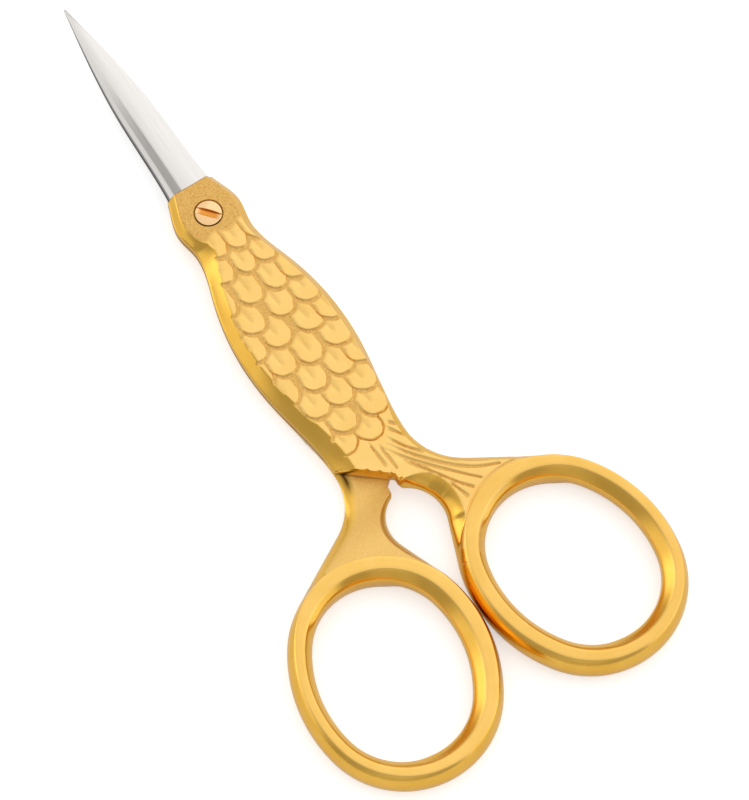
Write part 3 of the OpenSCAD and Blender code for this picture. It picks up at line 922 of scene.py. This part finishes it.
def build_slot_cutter():
    """A bar with flared walls, whose foot rises towards its ends."""
    section = [(-SLOT_W / 2, False), (-SLOT_W / 2 - SLOT_FLARE_LOW, True),
               (SLOT_W / 2 + SLOT_FLARE_TOP, True), (SLOT_W / 2, False)]
    shell = Shell()
    loops = []
    for x in np.linspace(-HEAD_R * 1.3, HEAD_R * 1.3, 21):
        floor = HALF_T - SLOT_D + SLOT_RISE * (x / HEAD_R) ** 2
        loops.append(shell.add([(x, y, HALF_T + 0.3 if above else floor) for y, above in section]))
    shell.tube(loops)
    verts = np.concatenate(shell.verts)
    c, s = cos(SLOT_TURN), sin(SLOT_TURN)
    verts[:, :2] = verts[:, :2] @ np.array([[c, s], [-s, c]])
    cutter = mesh_object("slot_cutter", verts, shell.faces)
    outward(cutter)
    return cutter


# Materials
def new_material(name):
    """A material, its nodes and its shader."""
    mat = bpy.data.materials.new(name)
    mat.use_nodes = True
    tree = mat.node_tree
    return mat, tree, tree.nodes["Principled BSDF"]


def node(tree, kind, inputs=None, **settings):
    """A node with its settings, and its inputs set to values or linked to other nodes."""
    made = tree.nodes.new("ShaderNode" + kind)
    for key, value in settings.items():
        setattr(made, key, value)
    for key, value in (inputs or {}).items():
        if isinstance(value, bpy.types.NodeSocket):
            tree.links.new(value, made.inputs[key])
        else:
            made.inputs[key].default_value = value
    return made


def place_on(tree):
    """Where a point lies on its object."""
    return node(tree, "TexCoord").outputs["Object"]


def stored(tree, key):
    """A value kept with the mesh's vertices."""
    return node(tree, "Attribute", attribute_name=key).outputs["Fac"]


def noise(tree, where, scale, detail):
    return node(tree, "TexNoise", {"Vector": where, "Scale": scale, "Detail": detail}).outputs["Fac"]


def maths(tree, operation, a, b):
    return node(tree, "Math", {0: a, 1: b}, operation=operation).outputs["Value"]


def spread(tree, value, low, high):
    """A value from 0 to 1 spread between two others."""
    return node(tree, "MapRange", {"Value": value, "To Min": low, "To Max": high}).outputs["Result"]


def blend(tree, factor, a, b):
    """A colour between two."""
    return node(tree, "Mix", {"Factor": factor, "A": a, "B": b}, data_type="RGBA").outputs["Result"]


def bumps(tree, height, strength, distance):
    return node(tree, "Bump", {"Height": height, "Strength": strength, "Distance": distance})


def linear(r, g, b):
    """Linear colour from 0 to 255 display values."""
    shares = [c / 255 for c in (r, g, b)]
    return tuple(c / 12.92 if c <= 0.0404 else ((c + 0.055) / 1.055) ** 2.4 for c in shares) + (1,)


def ramp(tree, source, low, high, stops=(0.3, 0.7)):
    """A colour between two, by a source that counts between two stops."""
    made = node(tree, "ValToRGB", {"Fac": source})
    for element, at, color in zip(made.color_ramp.elements, stops, (low, high)):
        element.position = at
        element.color = color
    return made.outputs["Color"]


def finish_metal(tree, bsdf, color, roughness, bump):
    """Links what the three metals have in common."""
    tree.links.new(color, bsdf.inputs["Base Color"])
    bsdf.inputs["Metallic"].default_value = 1.0
    if isinstance(roughness, float):
        bsdf.inputs["Roughness"].default_value = roughness
    else:
        tree.links.new(roughness, bsdf.inputs["Roughness"])
    tree.links.new(bump.outputs["Normal"], bsdf.inputs["Normal"])


def gilding():
    """Gold plate: satin on the flats, stippled on the ground, polished on bevels and walls, which are
    painted a deeper, darker gold as shade.
    """
    mat, tree, bsdf = new_material("gilding")
    where = place_on(tree)
    polish_and_shade, grain = stored(tree, "polish_and_shade"), stored(tree, "grain")
    cloud = noise(tree, where, 320.0, 3.0)
    stipple = noise(tree, where, 5200.0, 4.0)
    fine = noise(tree, where, 9000.0, 1.0)
    satin = ramp(tree, cloud, linear(247, 203, 117), linear(251, 210, 128))
    dull = ramp(tree, stipple, linear(208, 160, 78), linear(236, 192, 116))
    # Painted shade: the polished bevels and walls get a deeper, darker gold than the satin flats
    shaded_gloss = ramp(tree, cloud, linear(237, 184, 76), linear(245, 193, 87))
    color = blend(tree, polish_and_shade, blend(tree, grain, satin, dull), shaded_gloss)
    # Painted shade: the gap between the halves, the plating line and the screw's well darkened to brown
    color = blend(tree, stored(tree, "painted_shade"), color, linear(48, 20, 8))
    roughness = maths(tree, "ADD", spread(tree, polish_and_shade, 0.42, 0.17), maths(tree, "MULTIPLY", grain, 0.12))
    coarse = bumps(tree, stipple, maths(tree, "MULTIPLY", grain, 0.9), 0.00006)
    bump = bumps(tree, fine, 0.06, 0.00003)
    tree.links.new(coarse.outputs["Normal"], bump.inputs["Normal"])
    finish_metal(tree, bsdf, color, roughness, bump)
    return mat


def blade_steel():
    """Satin nickel with fine streaks along the blade, and painted shadow: grey in its facet and black at
    its foot.
    """
    mat, tree, bsdf = new_material("blade_steel")
    stretch = {"Vector": place_on(tree), "Scale": (5200.0, 130.0, 3000.0)}
    streak = noise(tree, node(tree, "Mapping", stretch).outputs["Vector"], 1.0, 3.0)
    color = ramp(tree, streak, linear(224, 220, 216), linear(232, 228, 224))
    # Painted shadow: grey on the ridge and facet, black at the spine's foot
    color = blend(tree, stored(tree, "shadow"), color, linear(120, 117, 113))
    color = blend(tree, stored(tree, "foot"), color, (0.01, 0.01, 0.01, 1))
    finish_metal(tree, bsdf, color, spread(tree, streak, 0.24, 0.34), bumps(tree, streak, 0.05, 0.00002))
    return mat


def screw_gilding():
    """Polished rose gold with faint turning marks, and painted shade in the slot: a deeper, darker
    orange.
    """
    mat, tree, bsdf = new_material("screw_gilding")
    marks = node(tree, "TexWave", {"Vector": place_on(tree), "Scale": 2600.0, "Distortion": 1.5},
                 wave_type="RINGS", rings_direction="Z").outputs["Fac"]
    color = ramp(tree, marks, linear(240, 192, 132), linear(252, 214, 164), (0.0, 1.0))
    # Painted shade in the slot
    color = blend(tree, stored(tree, "painted_slot_shade"), color, linear(220, 146, 62))
    finish_metal(tree, bsdf, color, 0.11, bumps(tree, marks, 0.05, 0.00002))
    return mat


# Stage
FLOOR_REACH = 1.2
FLOOR_LIFT = 0.5
MIRROR_LIFT = 0.12
CAMERA_AZIMUTH, CAMERA_ELEVATION = radians(-32.72), radians(67.89)
CAMERA_AWAY = 451
CAMERA_AIM = (3.397, -25.35, HALF_T)
LENS, SENSOR_W = 206.1, 36
ROOM_LIGHT = 0.47

# Soft lights of the room: direction, the cosines where each begins and is full, and its brightness
ROOM_LIGHTS = [
    ((0.45, 0.35, 0.82), 0.1, 0.85, 0.55),
    ((-0.79, 0.61, 0.12), 0.84, 0.97, 0.55),
    ((0.70, -0.66, 0.28), 0.80, 0.93, 0.6),
    ((-0.52, 0.80, 0.30), 0.90, 0.985, 0.6),
    ((-0.35, -0.68, 0.64), 0.84, 0.97, 0.1),
    ((-0.67, -0.74, 0.10), 0.85, 0.97, 0.12)]


def build_floor():
    """White paper that the camera sees a little lighter than it is lit."""
    size = FLOOR_REACH
    verts = [(-size, -size, 0), (size, -size, 0), (size, size, 0), (-size, size, 0)]
    mesh = bpy.data.meshes.new("floor")
    mesh.from_pydata(verts, [], [(0, 1, 2, 3)])
    floor = bpy.data.objects.new("floor", mesh)
    bpy.context.scene.collection.objects.link(floor)
    mat, tree, bsdf = new_material("floor_paper")
    bsdf.inputs["Base Color"].default_value = (0.8, 0.8, 0.8, 1)
    bsdf.inputs["Roughness"].default_value = 0.8
    bsdf.inputs["Specular IOR Level"].default_value = 0.0
    bsdf.inputs["Emission Color"].default_value = (1, 1, 1, 1)
    path = node(tree, "LightPath").outputs
    seen = maths(tree, "MULTIPLY", path["Is Camera Ray"], FLOOR_LIFT)
    mirrored = maths(tree, "MULTIPLY", path["Is Glossy Ray"], MIRROR_LIFT)
    tree.links.new(maths(tree, "ADD", seen, mirrored), bsdf.inputs["Emission Strength"])
    mesh.materials.append(mat)


def area_lamp(name, place_at, aim, size, power):
    """A rectangular lamp turned towards its aim."""
    data = bpy.data.lights.new(name, "AREA")
    data.shape = "RECTANGLE"
    data.size, data.size_y = size
    data.energy = power
    lamp = bpy.data.objects.new(name, data)
    lamp.location = place_at
    lamp.rotation_mode = "QUATERNION"
    lamp.rotation_quaternion = (Vector(aim) - Vector(place_at)).to_track_quat("-Z", "Y")
    bpy.context.scene.collection.objects.link(lamp)


def room_light(tree, direction, aim, start, end, power):
    """Brightness that grows as the direction nears the aim."""
    aim = tuple(Vector(aim).normalized())
    facing = node(tree, "VectorMath", {0: direction, 1: aim}, operation="DOT_PRODUCT").outputs["Value"]
    span = {"Value": facing, "From Min": start, "From Max": end, "To Max": power}
    return node(tree, "MapRange", span, interpolation_type="SMOOTHSTEP").outputs["Result"]


def build_world():
    """A white room that is brightest behind and above the scissors and dimmer in front."""
    world = bpy.data.worlds.new("studio")
    bpy.context.scene.world = world
    world.use_nodes = True
    tree = world.node_tree
    background = tree.nodes["Background"]
    direction = node(tree, "TexCoord").outputs["Generated"]
    lights = [room_light(tree, direction, *light) for light in ROOM_LIGHTS]
    total = lights[0]
    for light in lights[1:] + [ROOM_LIGHT]:
        total = maths(tree, "ADD", total, light)
    tree.links.new(total, background.inputs["Color"])
    background.inputs["Strength"].default_value = 1.0


def build_camera():
    """The photo's view."""
    level = cos(CAMERA_ELEVATION)
    back = Vector((sin(CAMERA_AZIMUTH) * level, -cos(CAMERA_AZIMUTH) * level, sin(CAMERA_ELEVATION)))
    data = bpy.data.cameras.new("camera")
    data.lens = LENS
    data.sensor_width = SENSOR_W
    data.clip_start, data.clip_end = 0.01, 10
    camera = bpy.data.objects.new("camera", data)
    camera.location = Vector(CAMERA_AIM) * MM + back * CAMERA_AWAY * MM
    camera.rotation_mode = "QUATERNION"
    camera.rotation_quaternion = (-back).to_track_quat("-Z", "Y")
    bpy.context.scene.collection.objects.link(camera)
    bpy.context.scene.camera = camera


def dress(obj, material, body, cad_node):
    """Gives an object its material and says which body it rides and which CAD node it replaces."""
    obj.data.materials.clear()
    obj.data.materials.append(material)
    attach(obj, body)
    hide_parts(cad_node)


build_camera()
build_floor()
build_world()
area_lamp("key_light", (0.62, 0.34, 0.72), (0, -0.02, 0), (0.9, 0.9), 0.5)
bpy.context.scene.view_settings.view_transform = "Standard"

gold, steel, rose = gilding(), blade_steel(), screw_gilding()
WELL_TOP_Z = PAD_Z - PAD_DROP
SEAT_Z = HALF_T - HEAD_RIM_T - DOME_H - HEAD_GAP
FRONT_HOLE = [
    (WELL_R + WELL_CHAMFER, WELL_TOP_Z), (WELL_R, WELL_TOP_Z - WELL_CHAMFER), (WELL_R, SEAT_Z),
    (SHOULDER_R + RUN_GAP, SEAT_Z), (SHOULDER_R + RUN_GAP, INNER_Z)]
BACK_HOLE = [(THREAD_R + THREAD_GAP, INNER_Z)]
for side, body, hole in (("front", "front_half", FRONT_HOLE), ("back", "back_half", BACK_HOLE)):
    handle = build_handle(side + "_handle_gilt", side == "back", hole)
    dress(handle, gold, body, side + "_handle")
    blade = build_blade(side + "_blade_steel", side == "back")
    dress(blade, steel, body, side + "_blade")
screw = build_screw("pivot_screw_gilt")
dress(screw, rose, "back_half", "pivot_screw")
